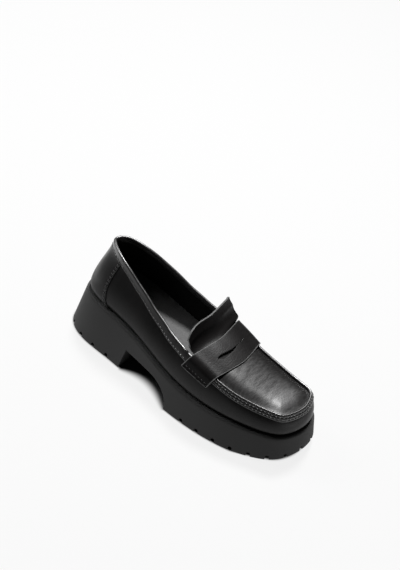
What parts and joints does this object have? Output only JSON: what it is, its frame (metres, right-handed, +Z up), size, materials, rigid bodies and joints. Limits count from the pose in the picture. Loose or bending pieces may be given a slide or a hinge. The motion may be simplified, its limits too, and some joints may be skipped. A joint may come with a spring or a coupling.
{
  "type": "chunky lug sole loafer",
  "caption": "Right loafer with a thick lugged platform sole, block heel, raised apron seam, saddle strap with a slit, and a standing tongue.",
  "frame": {"origin": "middle of the bounding box on the floor plane, under the shoe's waist", "axes": "+X towards the toe, +Y towards the medial side of this right shoe, +Z up"},
  "size_m": [0.2865, 0.1043, 0.1102],
  "materials": {
    "sole_rubber": "matte moulded rubber, nearly black",
    "upper_leather": "smooth black leather with a soft semi-gloss and a fine grain",
    "insole_cover": "matte dark grey insole cover"
  },
  "bodies": {
    "root": {"outsole": "sole_rubber", "upper": "upper_leather", "tongue": "upper_leather", "saddle_strap": "upper_leather", "heel_counter": "upper_leather", "insole": "insole_cover"}
  },
  "joints": []
}
